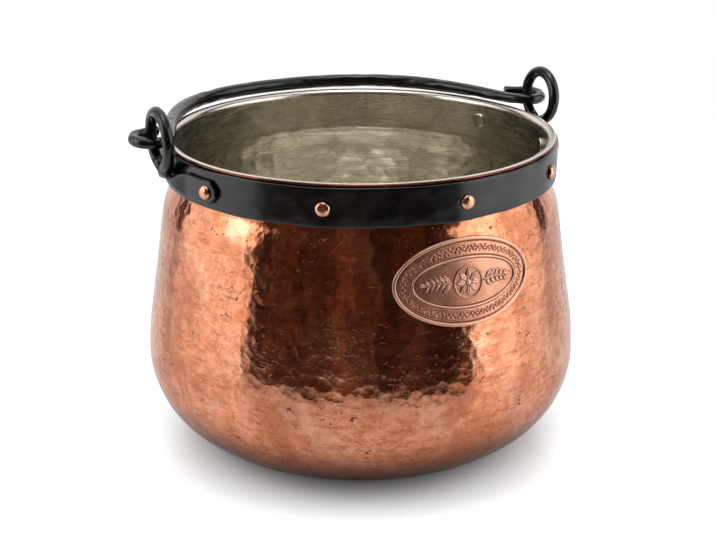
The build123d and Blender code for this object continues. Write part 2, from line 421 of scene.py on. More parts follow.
def noise(tree, place, scale, detail=4.0, rough=0.55, warp=0.0):
    """Cloudy noise from 0 to 1; scale is in features per metre."""
    inputs = {"Vector": place, "Scale": scale, "Detail": detail, "Roughness": rough}
    inputs["Distortion"] = warp
    return add_node(tree, "ShaderNodeTexNoise", inputs).outputs["Fac"]


def cells(tree, place, scale):
    """Distance from the nearest of scattered points, in cells; scale is in cells per metre."""
    inputs = {"Vector": place, "Scale": scale}
    return add_node(tree, "ShaderNodeTexVoronoi", inputs).outputs["Distance"]


def stretched(tree, place, scale):
    """The place with each axis scaled, for streaks."""
    return add_node(tree, "ShaderNodeMapping", {"Vector": place, "Scale": scale}).outputs[0]


def ramp(tree, value, low, high, start=0.0, end=1.0):
    """Remap a value smoothly from low..high to start..end."""
    inputs = {"Value": value, "From Min": low, "From Max": high, "To Min": start, "To Max": end}
    node = add_node(tree, "ShaderNodeMapRange", inputs, interpolation_type="SMOOTHSTEP")
    return node.outputs[0]


def calculate(tree, operation, *values):
    """A number worked out from values or sockets."""
    return add_node(tree, "ShaderNodeMath", dict(enumerate(values)), operation=operation).outputs[0]


def mix(tree, share, first, second):
    """The first colour where share is 0 and the second where it is 1."""
    node = add_node(tree, "ShaderNodeMix", {"Factor": share}, data_type="RGBA")
    colour_sockets = (6, 7)
    colour_output = 2
    for key, value in zip(colour_sockets, (first, second)):
        if isinstance(value, bpy.types.NodeSocket):
            tree.links.new(value, node.inputs[key])
        else:
            node.inputs[key].default_value = (*value, 1)
    return node.outputs[colour_output]


def tint(tree, colour, tone, mask, low, high, most=1.0):
    """The colour, turned to a tone by up to most where a mask runs from low to high."""
    return mix(tree, ramp(tree, mask, low, high, 0, most), colour, tone)


def stored(tree, name):
    """The number that a mesh keeps at its points."""
    return add_node(tree, "ShaderNodeAttribute", attribute_name=name).outputs["Fac"]


def bump(tree, height, distance, strength=1.0, normal=None):
    """Small relief from a height; distance is in metres."""
    inputs = {"Height": height, "Distance": distance, "Strength": strength}
    if normal:
        inputs["Normal"] = normal
    return add_node(tree, "ShaderNodeBump", inputs).outputs[0]


def feed(tree, shader, **sockets):
    """Link sockets or set values on the shader, by name with underscores for spaces."""
    for key, value in sockets.items():
        socket = shader.inputs[key.replace("_", " ")]
        if isinstance(value, bpy.types.NodeSocket):
            tree.links.new(value, socket)
        else:
            socket.default_value = value


def pot_copper(looks):
    """Hammered copper: mottled tone, level wiping streaks, dark pits, ridges rubbed bright, and
    painted shade at the lip edge and towards the base.
    """
    material, tree, shader, place = new_material("hammered_copper")
    broad = noise(tree, place, 24, 5, 0.6, 0.6)
    mottle = noise(tree, place, 130, 8, 0.7, 0.9)
    streak = noise(tree, stretched(tree, place, (1, 1, 5)), 75, 7, 0.7, 0.3)
    speckle = noise(tree, place, 620, 4, 0.6)
    pits = noise(tree, stretched(tree, place, (1, 1, 2.2)), 230, 4, 0.55, 0.8)
    patches = noise(tree, place, 38, 3, 0.5)
    ridge = stored(tree, "ridge")
    colour = tint(tree, looks.copper_colour, looks.copper_shade, broad, 0.40, 0.60)
    colour = tint(tree, colour, looks.copper_shade, mottle, 0.45, 0.60, 0.80)
    colour = tint(tree, colour, looks.copper_brown, streak, 0.48, 0.64, 0.65)
    colour = tint(tree, colour, looks.copper_bright, speckle, 0.54, 0.70, 0.35)
    colour = tint(tree, colour, looks.copper_bright, ridge, 0.55, 1.0, 0.30)
    pitted = ramp(tree, calculate(tree, "MULTIPLY_ADD", patches, 0.35, pits), 0.83, 0.89)
    colour = mix(tree, pitted, colour, looks.pit_and_painted_shade_colour)
    # Painted shade: the edge share darkens the lip edge and the lower outside to the pit colour
    colour = mix(tree, stored(tree, "edge"), colour, looks.pit_and_painted_shade_colour)
    rough = calculate(tree, "ADD", ramp(tree, mottle, 0.35, 0.7, 0, 0.10), looks.polish)
    rough = calculate(tree, "ADD", rough, calculate(tree, "MULTIPLY", pitted, 0.25))
    small_marks = calculate(tree, "POWER", cells(tree, place, 210), 2.0)
    normal = bump(tree, small_marks, looks.small_marks)
    normal = bump(tree, streak, 0.00004, 0.6, normal)
    grain = calculate(tree, "MULTIPLY_ADD", speckle, 0.6, mottle)
    normal = bump(tree, grain, 0.00009, 0.6, normal)
    normal = bump(tree, calculate(tree, "SUBTRACT", 1.0, pitted), 0.0001, 0.6, normal)
    feed(tree, shader, Base_Color=colour, Roughness=rough, Normal=normal, Metallic=1.0)
    return material


def lining_tin(looks):
    """Old tin: dull warm grey with darker clouds and level streaks from wiping."""
    material, tree, shader, place = new_material("wiped_tin")
    clouds = noise(tree, place, 28, 5, 0.6, 0.8)
    streaks = noise(tree, stretched(tree, place, (1, 1, 7)), 60, 5, 0.6, 0.5)
    spots = noise(tree, place, 330, 4, 0.6)
    ridge = stored(tree, "ridge")
    colour = tint(tree, looks.tin_colour, looks.tin_shade, clouds, 0.36, 0.66)
    colour = tint(tree, colour, looks.tin_shade, streaks, 0.45, 0.70, 0.55)
    colour = tint(tree, colour, looks.tin_bright, ridge, 0.5, 1.0, 0.35)
    colour = tint(tree, colour, looks.tin_stain, spots, 0.62, 0.74, 0.5)
    rub = ramp(tree, stored(tree, "lip"), 0.0, 1.0)
    colour = mix(tree, calculate(tree, "MULTIPLY", rub, 0.8), colour, looks.lip_colour)
    rough = calculate(tree, "ADD", ramp(tree, streaks, 0.3, 0.7, 0, 0.16), looks.dullness)
    normal = bump(tree, streaks, 0.00006, 0.5)
    normal = bump(tree, spots, 0.00003, 0.5, normal)
    feed(tree, shader, Base_Color=colour, Roughness=rough, Normal=normal, Metallic=1.0)
    return material


def forged_iron(looks):
    """Blackened iron: near black scale with grey rubbed edges and a satin sheen."""
    material, tree, shader, place = new_material("black_iron")
    scale = noise(tree, place, 120, 6, 0.62, 0.6)
    grain = noise(tree, place, 700, 4, 0.6)
    edge = add_node(tree, "ShaderNodeNewGeometry").outputs["Pointiness"]
    colour = tint(tree, looks.iron_colour, looks.iron_bloom, scale, 0.40, 0.68)
    rubbed = ramp(tree, edge, 0.515, 0.56)
    rubbed = calculate(tree, "MULTIPLY", rubbed, ramp(tree, scale, 0.35, 0.65))
    colour = mix(tree, calculate(tree, "MULTIPLY", rubbed, 0.6), colour, looks.iron_rubbed)
    rough = calculate(tree, "ADD", ramp(tree, scale, 0.3, 0.7, 0, 0.08), looks.iron_roughness)
    height = calculate(tree, "MULTIPLY_ADD", grain, 0.3, scale)
    normal = bump(tree, height, 0.00007, 0.55)
    feed(tree, shader, Base_Color=colour, Roughness=rough, Normal=normal)
    feed(tree, shader, Metallic=0.0, Specular_IOR_Level=0.6)
    return material


def rivet_metal(looks):
    """Rivet copper: its own tone on the dome, with painted shade darkening it to brown at the seat.
    """
    material, tree, shader, place = new_material("rivet_copper")
    cloud = noise(tree, place, 420, 5, 0.6)
    seat_shade_fade = stored(tree, "seat_shade_fade")
    colour = tint(tree, looks.rivet_colour, looks.rivet_shade, cloud, 0.4, 0.7)
    # Painted shade: the head darkens to the seat colour where it meets the band or tab
    colour = tint(tree, looks.rivet_seat_shade, colour, seat_shade_fade, 0.05, 0.45)
    colour = mix(tree, stored(tree, "tinned"), colour, looks.head_tin)
    rough = ramp(tree, cloud, 0.3, 0.7, 0.14, 0.26)
    normal = bump(tree, cloud, 0.00008, 0.6)
    feed(tree, shader, Base_Color=colour, Roughness=rough, Normal=normal, Metallic=1.0)
    return material


def plaque_metal(looks):
    """Stamped copper: satin pink, rubbed bright on the raised lines and dark in the hollows."""
    material, tree, shader, place = new_material("plaque_copper")
    cloud = noise(tree, place, 90, 6, 0.6, 0.5)
    grain = noise(tree, place, 1400, 3, 0.6)
    colour = tint(tree, looks.plaque_colour, looks.plaque_shade, cloud, 0.36, 0.66)
    colour = tint(tree, colour, looks.plaque_bright, stored(tree, "raised"), 0.1, 0.9, 0.75)
    colour = tint(tree, colour, looks.plaque_dark, stored(tree, "hollow"), 0.0, 1.0, 0.92)
    rough = calculate(tree, "ADD", ramp(tree, grain, 0.3, 0.7, 0, 0.12), 0.30)
    normal = bump(tree, grain, 0.00004, 0.6)
    feed(tree, shader, Base_Color=colour, Roughness=rough, Normal=normal, Metallic=1.0)
    return material


class PotLooks(bpy.types.PropertyGroup):
    """Hammering and colours of the copper pot."""

    mesh_step: FloatProperty(
        name="Mesh step", description="Distance between mesh rows", default=0.0011, unit="LENGTH"
    )
    columns: IntProperty(
        name="Columns", description="Mesh columns round the pot", default=840, min=48
    )
    mark_pitch: FloatProperty(
        name="Mark pitch", description="Distance between hammer marks",
        default=0.0076, unit="LENGTH",
    )
    mark_depth: FloatProperty(
        name="Mark depth", description="Depth of the deepest hammer marks",
        default=0.00014, unit="LENGTH",
    )
    mark_hollow: FloatProperty(
        name="Mark hollow", description="Radius of the hammer's face",
        default=0.095, unit="LENGTH",
    )
    small_marks: FloatProperty(
        name="Small marks", description="Depth of the fine hammering",
        default=0.00010, unit="LENGTH",
    )
    swell: FloatProperty(
        name="Swell", description="Height of the slow unevenness", default=0.00012, unit="LENGTH"
    )
    copper_colour: FloatVectorProperty(
        name="Copper", description="Main tone", subtype="COLOR", default=(0.84, 0.35, 0.20)
    )
    copper_shade: FloatVectorProperty(
        name="Shade", description="Deeper tone in patches",
        subtype="COLOR", default=(0.60, 0.205, 0.10),
    )
    copper_brown: FloatVectorProperty(
        name="Brown", description="Brown of the wiping streaks",
        subtype="COLOR", default=(0.40, 0.125, 0.06),
    )
    copper_bright: FloatVectorProperty(
        name="Bright", description="Rubbed ridges and flecks",
        subtype="COLOR", default=(0.95, 0.58, 0.41),
    )
    # Colour of the dark pits, and of the painted shade at the lip edge and the base
    pit_and_painted_shade_colour: FloatVectorProperty(
        name="Pits", description="Dark pits and dashes",
        subtype="COLOR", default=(0.17, 0.05, 0.03),
    )
    polish: FloatProperty(
        name="Roughness", description="Least roughness of the copper", default=0.085, min=0, max=1
    )


class LiningLooks(bpy.types.PropertyGroup):
    """Hammering and colours of the tinned inside."""

    mesh_step: FloatProperty(
        name="Mesh step", description="Distance between mesh rows", default=0.0014, unit="LENGTH"
    )
    columns: IntProperty(
        name="Columns", description="Mesh columns round the lining", default=640, min=48
    )
    mark_pitch: FloatProperty(
        name="Mark pitch", description="Distance between hammer marks",
        default=0.0085, unit="LENGTH",
    )
    mark_depth: FloatProperty(
        name="Mark depth", description="Depth of the deepest hammer marks",
        default=0.00026, unit="LENGTH",
    )
    mark_hollow: FloatProperty(
        name="Mark hollow", description="Radius of the marks", default=0.075, unit="LENGTH"
    )
    tin_colour: FloatVectorProperty(
        name="Tin", description="Main tone", subtype="COLOR", default=(0.80, 0.76, 0.66)
    )
    tin_shade: FloatVectorProperty(
        name="Shade", description="Darker clouds", subtype="COLOR", default=(0.56, 0.53, 0.44)
    )
    tin_bright: FloatVectorProperty(
        name="Bright", description="Rubbed ridges", subtype="COLOR", default=(0.90, 0.86, 0.77)
    )
    tin_stain: FloatVectorProperty(
        name="Stain", description="Small dark spots", subtype="COLOR", default=(0.24, 0.20, 0.15)
    )
    lip_colour: FloatVectorProperty(
        name="Lip", description="Bright lip", subtype="COLOR", default=(0.80, 0.71, 0.65)
    )
    dullness: FloatProperty(
        name="Roughness", description="Least roughness of the tin", default=0.17, min=0, max=1
    )


class IronLooks(bpy.types.PropertyGroup):
    """Forging and colours of the hoop, ears and bail."""

    iron_colour: FloatVectorProperty(
        name="Iron", description="Main tone", subtype="COLOR", default=(0.0003, 0.0004, 0.0004)
    )
    iron_bloom: FloatVectorProperty(
        name="Bloom", description="Greyer patches",
        subtype="COLOR", default=(0.0012, 0.0013, 0.0013),
    )
    iron_rubbed: FloatVectorProperty(
        name="Rubbed", description="Rubbed edges", subtype="COLOR", default=(0.06, 0.058, 0.054)
    )
    iron_roughness: FloatProperty(
        name="Roughness", description="Least roughness of the iron", default=0.20, min=0, max=1
    )
    facet_depth: FloatProperty(
        name="Facet depth", description="Depth of the forged facets",
        default=0.00045, unit="LENGTH",
    )
    facet_pitch: FloatProperty(
        name="Facet pitch", description="Length of the forged facets",
        default=0.011, unit="LENGTH",
    )


class RivetLooks(bpy.types.PropertyGroup):
    """Colours of the rivets."""

    # The rivet's own copper tone, shown on the dome
    rivet_colour: FloatVectorProperty(
        name="Copper", description="Worn dome", subtype="COLOR", default=(0.84, 0.46, 0.31)
    )
    rivet_shade: FloatVectorProperty(
        name="Shade", description="Darker patches", subtype="COLOR", default=(0.55, 0.22, 0.13)
    )
    # Colour of the painted shade where the rivet head meets its seat
    rivet_seat_shade: FloatVectorProperty(
        name="Seat", description="Edge of the head", subtype="COLOR", default=(0.20, 0.08, 0.05)
    )
    head_tin: FloatVectorProperty(
        name="Tinned", description="Inner heads under tin",
        subtype="COLOR", default=(0.66, 0.62, 0.54),
    )


class PlaqueLooks(bpy.types.PropertyGroup):
    """Relief and colours of the oval plaque."""

    leaf_count: IntProperty(
        name="Leaves", description="Leaf pairs round the border", default=26, min=6
    )
    relief: FloatProperty(
        name="Relief", description="Height of the ornament", default=0.0007, unit="LENGTH"
    )
    plaque_colour: FloatVectorProperty(
        name="Copper", description="Main tone", subtype="COLOR", default=(0.72, 0.35, 0.23)
    )
    plaque_shade: FloatVectorProperty(
        name="Shade", description="Deeper tone", subtype="COLOR", default=(0.56, 0.24, 0.15)
    )
    plaque_bright: FloatVectorProperty(
        name="Bright", description="Rubbed lines", subtype="COLOR", default=(0.86, 0.52, 0.37)
    )
    plaque_dark: FloatVectorProperty(
        name="Dark", description="Stained hollows", subtype="COLOR", default=(0.07, 0.028, 0.018)
    )


class StageLooks(bpy.types.PropertyGroup):
    """Floor, lamps and backdrop."""

    floor_front: FloatProperty(
        name="Floor front", description="Reach of the pale floor in front",
        default=0.53, unit="LENGTH",
    )
    floor_side: FloatProperty(
        name="Floor side", description="Reach of the pale floor elsewhere",
        default=1.0, unit="LENGTH",
    )
    floor_colour: FloatVectorProperty(
        name="Floor", description="Floor colour", subtype="COLOR", default=(0.85, 0.87, 0.885)
    )
    floor_lift: FloatProperty(
        name="Floor lift", description="White added for the camera away from the pot",
        default=0.55,
    )
    # Radii of the painted contact shadow on the floor: the camera's lift is least inside the first
    # and full beyond the second
    painted_shadow_start: FloatProperty(
        name="Shadow start", description="Radius where the lift starts",
        default=0.090, unit="LENGTH",
    )
    painted_shadow_end: FloatProperty(
        name="Shadow end", description="Radius of the full lift", default=0.15, unit="LENGTH"
    )
    lamp_radiance: FloatProperty(
        name="Lamp", description="Brightness of the soft lamps at the sides", default=2.2
    )
    top_radiance: FloatProperty(
        name="Top lamp", description="Brightness of the lamp overhead", default=4.6
    )
    room_colour: FloatVectorProperty(
        name="Room", description="Dim room in front",
        subtype="COLOR", default=(0.028, 0.018, 0.015),
    )
    room_glow: FloatVectorProperty(
        name="Room glow", description="Upright glows in the dim room",
        subtype="COLOR", default=(0.19, 0.11, 0.07),
    )


class CauldronLooks(bpy.types.PropertyGroup):
    """All the looks of the cauldron."""

    pot: PointerProperty(type=PotLooks, name="Pot", description="Copper pot")
    lining: PointerProperty(type=LiningLooks, name="Lining", description="Tin lining")
    iron: PointerProperty(type=IronLooks, name="Iron", description="Hoop, ears and bail")
    rivets: PointerProperty(type=RivetLooks, name="Rivets", description="Copper rivets")
    plaque: PointerProperty(type=PlaqueLooks, name="Plaque", description="Oval plaque")
    stage: PointerProperty(type=StageLooks, name="Stage", description="Floor and lamps")


def short_of_lip(rows, reach):
    """Outline rows without the end of the lip past a radius."""
    return rows[(rows[:, 1] < lip_seat - 1e-6) | (rows[:, 0] < reach)]


def offset_rows(rows, inset):
    """Radii and heights of outline rows, moved into the wall by inset, a number or a grid."""
    radii = rows[:, 0, None] - inset * np.sin(rows[:, 2, None])
    heights = rows[:, 1, None] + inset * np.cos(rows[:, 2, None])
    return radii, heights


def shell_rings(outer_rows, outer_inset, inner_rows, inner_inset, edge, turns):
    """Rings over a turned shell: along one side, round the edge and back along the other side."""
    flat = np.ones((1, len(turns)))
    outer = [side * flat for side in offset_rows(outer_rows, outer_inset)]
    inner = [side[::-1] * flat for side in offset_rows(inner_rows, inner_inset)]
    middle_radius, middle_height, size = edge
    swing = np.radians(np.linspace(-75, 75, lip_rings))[:, None]
    edge_radii = middle_radius + size * np.cos(swing) * flat
    edge_heights = middle_height + size * np.sin(swing) * flat
    radii = np.vstack([outer[0], edge_radii, inner[0]])
    heights = np.vstack([outer[1], edge_heights, inner[1]])
    return spin(radii, heights, turns[None, :])


def copper_pot(looks):
    """The pot's shell: hammered outside, rounded lip edge and a plain side under the tin."""
    neck_wear = 0.8
    base_marks, base_reach = 0.35, 0.006
    # Painted shade towards the base: height where it begins, height where it is full, and its
    # greatest share
    painted_shade_start, painted_shade_end, most_painted_shade = 0.054, 0.006, 0.95
    rng = np.random.default_rng(7)
    turns = full_turn(looks.columns)
    edge_size = copper_wall / 2
    reach = lip_radius - edge_size
    rows = short_of_lip(walk_outline(looks.mesh_step)[1:], reach)
    under = short_of_lip(walk_outline(hidden_step)[1:], reach)
    girth, levels, walked = rows[:, 0], rows[:, 1], rows[:, 3]
    hollow = (looks.mark_hollow, looks.mark_hollow)
    marks = hammer_marks(
        rng, walked, girth, turns, looks.mark_pitch, looks.mark_depth, hollow, pot_mark_tilt
    )
    swells = slow_waves(rng, walked, turns, looks.swell, pot_swell_length, belly_radius)
    marks += swells - looks.swell
    fade = 1 - neck_wear * ease(neck_foot - 0.004, neck_foot + 0.001, levels)
    fade = fade * (base_marks + (1 - base_marks) * ease(0.0, base_reach, levels))
    dents = marks * fade[:, None]
    top = (reach, lip_seat + edge_size, edge_size)
    rings = shell_rings(rows, -dents, under, copper_wall, top, turns)
    mesh = ring_mesh("copper_pot", rings)
    low, high = np.percentile(marks, (2, 99))
    store(mesh, "ridge", np.clip((marks - low) / (high - low), 0, 1), 0.5)
    # Painted shade, kept as the edge share: full on the copper's top edge under the lip and rising
    # towards the base, standing in for the shadowed lip edge and the reflected contact shadow of
    # the floor
    painted_shade = np.zeros(rings.shape[:2])
    outside = len(rows)
    painted_shade[:outside] = ease(lip_seat - 0.0015, lip_seat - 0.0002, levels)[:, None]
    painted_shade[:outside] += (1 - ease(painted_shade_end, painted_shade_start, levels))[:, None]
    painted_shade[outside: outside + lip_rings] = 1.0
    store(mesh, "edge", painted_shade * most_painted_shade)
    return mesh


def tin_inside(looks):
    """The tin lining: hammered towards the inside, smooth at the neck and over the lip."""
    lip_setback, lip_blend = 0.0007, 0.0012
    neck_wear = 0.85
    still_middle, plain_middle = (0.015, 0.07), 0.012
    under_gap, mark_clearance = 0.00002, 0.0001
    rng = np.random.default_rng(11)
    turns = full_turn(looks.columns)
    edge_size = tin_wall / 2
    reach = lip_radius - lip_setback
    rows = short_of_lip(walk_outline(looks.mesh_step)[1:], reach)
    under = short_of_lip(walk_outline(hidden_step)[1:], reach)
    girth, levels, walked = rows[:, 0], rows[:, 1], rows[:, 3]
    hollow = (looks.mark_hollow, looks.mark_hollow)
    marks = hammer_marks(
        rng, walked, girth, turns, looks.mark_pitch, looks.mark_depth, hollow, tin_mark_tilt
    )
    swells = slow_waves(rng, walked, turns, tin_swell_height, tin_swell_length, belly_radius)
    marks += (swells - tin_swell_height) * ease(*still_middle, girth)[:, None]
    smooth = 1 - neck_wear * ease(neck_foot - 0.012, neck_foot + 0.004, levels)
    smooth = smooth * ease(0.0, plain_middle, girth)
    wall = copper_wall + tin_wall
    inset = wall + mark_clearance - marks * smooth[:, None]
    over_lip = ease(lip_seat - 0.002, lip_seat, levels)[:, None]
    inset = inset * (1 - over_lip) + wall * over_lip
    top = (reach, lip_seat + copper_wall + edge_size, edge_size)
    rings = shell_rings(under, copper_wall + under_gap, rows, inset, top, turns)
    mesh = ring_mesh("tin_inside", rings)
    hidden = len(under) + lip_rings
    ridge = np.zeros(rings.shape[:2])
    ridge[hidden:] = ((marks - marks.min()) / (marks.max() - marks.min()))[::-1]
    store(mesh, "ridge", ridge, 0.5)
    bright = np.ones(rings.shape[:2])
    near_lip = ease(lip_seat - lip_blend, lip_seat + lip_blend, levels + lip_blend)
    bright[hidden:] = near_lip[::-1, None]
    store(mesh, "lip", bright)
    return mesh


def iron_hoop():
    """The hoop: flat bar with soft corners, slightly uneven from the hammer."""
    bevel, inner_bevel, clearance = 0.0007, 0.0012, 0.00005
    face_rows, corner_rows = 17, 3
    mark_pitch, mark_depth, mark_hollow = 0.015, 0.00022, (0.25, 0.14)
    rim_drop = 0.0002
    rng = np.random.default_rng(23)
    turns = full_turn(hoop_columns)
    face = np.linspace(band_bottom + bevel, band_top - bevel, face_rows)
    corner = np.radians(np.linspace(-75, -15, corner_rows))
    round_radius, round_level = band_outer - bevel, band_bottom + bevel
    low = [(round_radius + bevel * cos(a), round_level + bevel * sin(a)) for a in corner]
    high = [(r, band_top + band_bottom - z) for r, z in low[::-1]]
    outer = low + [(band_outer, z) for z in face] + high
    seat = neck_radius + clearance
    inner = [(neck_radius + inner_bevel, band_top), (seat, band_top - inner_bevel)]
    inner += [(seat, band_bottom + inner_bevel), (neck_radius + inner_bevel, band_bottom)]
    section = np.array(outer + inner)
    shown = len(outer)
    length = section[:shown, 1] - band_bottom
    order = np.argsort(length)
    girth = np.full(shown, band_outer)
    marks = np.zeros((len(section), hoop_columns))
    marks[order] = hammer_marks(
        rng, length[order], girth, turns, mark_pitch, mark_depth, mark_hollow, hoop_mark_tilt
    )
    swells = slow_waves(rng, length, turns, hoop_swell_height, hoop_swell_length, band_outer)
    marks[:shown] += swells - hoop_swell_height
    both_rims = np.array([0.0, 1.0])
    rims = slow_waves(rng, both_rims, turns, rim_swell_height, rim_swell_length, band_outer)
    share = (section[:, 1, None] - band_bottom) / band_height
    wave = (rims[0] - rim_drop) * share - (rims[1] - rim_drop) * (1 - share)
    radii = section[:, 0, None] + marks
    heights = section[:, 1, None] + wave
    return ring_mesh("iron_hoop", spin(radii, heights, turns[None, :]), joined=True)


def bar_rings(stations, columns):
    """Rings along a bar. A station is its middle, two square directions, two half sizes and a
    squareness, 2 for a round section and more for a flat one with soft corners."""
    angle = full_turn(columns)
    rings = []
    for middle, side, up, half_side, half_up, square in stations:
        across = np.sign(np.cos(angle)) * np.abs(np.cos(angle)) ** (2 / square) * half_side
        rise = np.sign(np.sin(angle)) * np.abs(np.sin(angle)) ** (2 / square) * half_up
        rings.append(middle + across[:, None] * side + rise[:, None] * up)
    return np.array(rings)


def dent_bar(rings, rng, pitch, depth, hollow):
    """Press forged facets into the rings of a bar, towards its middle line."""
    middles = rings.mean(1)
    walked = length_along(middles)
    spoke = rings - middles[:, None]
    size = np.linalg.norm(spoke, axis=2)
    turns = full_turn(rings.shape[1])
    marks = hammer_marks(rng, walked, size.mean(1), turns, pitch, depth, hollow, bar_mark_tilt)
    return middles[:, None] + spoke * (1 + marks / size)[:, :, None]


def close_ends(rings, size):
    """Add small rounded rings at both ends of a bar, cut nearly square."""
    profile = ((0.30, 0.97), (0.75, 0.88), (1.0, 0.72))
    ends = []
    for ring, inner in ((rings[0], rings[1]), (rings[-1], rings[-2])):
        middle = ring.mean(0)
        out = unit(middle - inner.mean(0)) * size
        ends.append([middle + (ring - middle) * width + out * reach for reach, width in profile])
    return np.concatenate([np.array(ends[0][::-1]), rings, np.array(ends[1])])


def ear_stations(stand):
    """Half of an ear's bar, from the end of a tab along the hoop and up into the eye."""
    tab_rings, leg_rings, eye_rings = 56, 26, 60
    round_section, tab_squareness = 2.0, 3.5
    flare_clearance = 0.001
    half_rod = ear_rod / 2
    out = np.array([cos(radians(ear_lean)), 0, -sin(radians(ear_lean))])
    lean = np.array([sin(radians(ear_lean)), 0, cos(radians(ear_lean))])
    level = np.array([0, 1.0, 0])
    up = np.array([0, 0, 1.0])
    stations = []
    tab_middle = band_outer + tab_thickness / 2
    tab_end = tab_outer * sin(radians(ear_rivet_angle) + asin(tab_reach / tab_outer))
    flare_start = foot_across + tab_flare
    for across in np.linspace(tab_end, foot_across, tab_rings):
        clip = np.clip((tab_end - across) / tab_clip, 0, 1)
        share = float(ease(foot_across + flare_clearance, flare_start, across))
        half_up = half_rod * (1 - share) + (tab_height / 2 - tab_clip * (1 - clip)) * share
        half_side = half_rod * (1 - share) + tab_thickness / 2 * share
        radius = rod_outer * (1 - share) + tab_middle * share
        azimuth = np.arcsin(across / radius)
        depth = radius * cos(azimuth) * share + rod_outer * (1 - share)
        middle = np.array([depth, across, rivet_level])
        around = np.array([cos(azimuth), sin(azimuth), 0])
        side = unit(around * share + out * (1 - share))
        rise = up * share + lean * (1 - share)
        square = round_section + tab_squareness * share
        stations.append((middle, side, rise, half_side, half_up, square))
    foot = np.array([rod_outer, foot_across, rivet_level])
    eye_middle = np.array([rod_outer + stand, 0, rivet_level]) + lean * eye_rise
    leg_end = eye_middle + (level * cos(eye_join) - lean * sin(eye_join)) * eye_radius
    leg_way = level * sin(eye_join) + lean * cos(eye_join)
    leg = (foot, foot - level * leg_pull, leg_end - leg_way * leg_pull, leg_end)
    for place, way in zip(*bezier(leg, np.linspace(0, 1, leg_rings)[1:])):
        side = unit(out - way * out.dot(way))
        stations.append((place, side, np.cross(side, way), half_rod, half_rod, round_section))
    for angle in np.linspace(-eye_join, pi / 2, eye_rings)[1:]:
        spoke = level * cos(angle) + lean * sin(angle)
        place = eye_middle + spoke * eye_radius
        stations.append((place, out, spoke, half_rod, half_rod, round_section))
    return stations


def forged_ear(name, looks, stand, side, seed):
    """One ear: a bar with its flattened ends on the hoop and its middle bent to an eye."""
    facet_share, facet_hollow, end_rounding = 0.7, (0.0045, 0.05), 0.0007
    half = ear_stations(stand)
    flip = np.array([1, -1, 1])
    mirrored = []
    for middle, across, up, half_side, half_up, square in half[-2::-1]:
        mirrored.append((middle * flip, across * flip, up * flip, half_side, half_up, square))
    rings = bar_rings(half + mirrored, ear_columns)
    rng = np.random.default_rng(seed)
    rings = dent_bar(rings, rng, looks.facet_pitch, looks.facet_depth * facet_share, facet_hollow)
    rings = close_ends(rings, end_rounding)
    if side < 0:
        rings = (rings * np.array([-1, 1, 1]))[:, ::-1]
    return ring_mesh(name, rings)


def bezier(points, shares):
    """Points and directions along a cubic curve with four control points."""
    a, b, c, d = (np.array(p) for p in points)
    t = np.asarray(shares)[:, None]
    place = a * (1 - t) ** 3 + 3 * b * t * (1 - t) ** 2 + 3 * c * t * t * (1 - t) + d * t**3
    way = (b - a) * (1 - t) ** 2 + 2 * (c - b) * t * (1 - t) + (d - c) * t * t
    return place, way / np.linalg.norm(way, axis=1)[:, None]


def bail_half():
    """Middles and half sizes along half the bail, from the middle of the arch to the cut end."""
    arch_rings, corner_rings, hook_rings, tip_rings = 150, 12, 40, 10
    axis_on_eye = (axis_height - rivet_level) / cos(radians(ear_lean))
    mean_stand = (right_stand + left_stand) / 2
    eye_at_axis = rod_outer + mean_stand + axis_on_eye * sin(radians(ear_lean))
    eye_side = sqrt(eye_radius**2 - (eye_rise - axis_on_eye) ** 2)
    eye_over = eye_rise + eye_radius - axis_on_eye
    hook_inset = eye_side - ear_rod / 2 - eye_gap - hook_rod / 2
    hook_radius = (eye_over + ear_rod / 2 + hook_gap + hook_rod / 2 - hook_inset) / 2
    hook_start = np.array([eye_at_axis, hook_inset])
    reach = lip_radius + reach_outset
    slant = np.array([sin(radians(side_slant)), -cos(radians(side_slant))])
    side_end = hook_start + hook_corner * np.array([slant[1], 1 - slant[0]])
    side_start = side_end - slant * side_fullness * (reach - side_end[1])
    control = [(0, reach), (side_end[0] * arch_fullness, reach), side_start, side_end]
    arch, _ = bezier(control, np.linspace(0, 1, arch_rings))
    walked = length_along(arch)
    thick = np.clip((walked[-1] - walked) / taper_length, 0, 1)
    sizes = hook_rod / 2 + (bail_rod - hook_rod) / 2 * thick * thick * (3 - 2 * thick)
    turns = np.radians(np.linspace(180 + side_slant, 270, corner_rings)[1:])
    corner = hook_start + hook_corner * np.stack([np.cos(turns), 1 + np.sin(turns)], 1)
    turns = np.radians(np.linspace(0, hook_turn, hook_rings)[1:])
    curl = hook_radius * np.stack([np.sin(turns), 1 - np.cos(turns)], 1)
    way = np.array([cos(radians(hook_turn)), sin(radians(hook_turn))])
    tip = curl[-1] + way * hook_tip * np.linspace(0, 1, tip_rings)[1:, None]
    out, back = np.vstack([curl, tip]).T
    level_part = np.vstack([arch, corner])
    level_part = np.column_stack([level_part, np.zeros(len(level_part))])
    back_level, back_rise = back * cos(radians(hook_lean)), back * sin(radians(hook_lean))
    leaned = np.column_stack([eye_at_axis + out, hook_inset + back_level, back_rise])
    points = np.vstack([level_part, leaned])
    sizes = np.concatenate([sizes, np.full(len(points) - len(sizes), hook_rod / 2)])
    return points, sizes


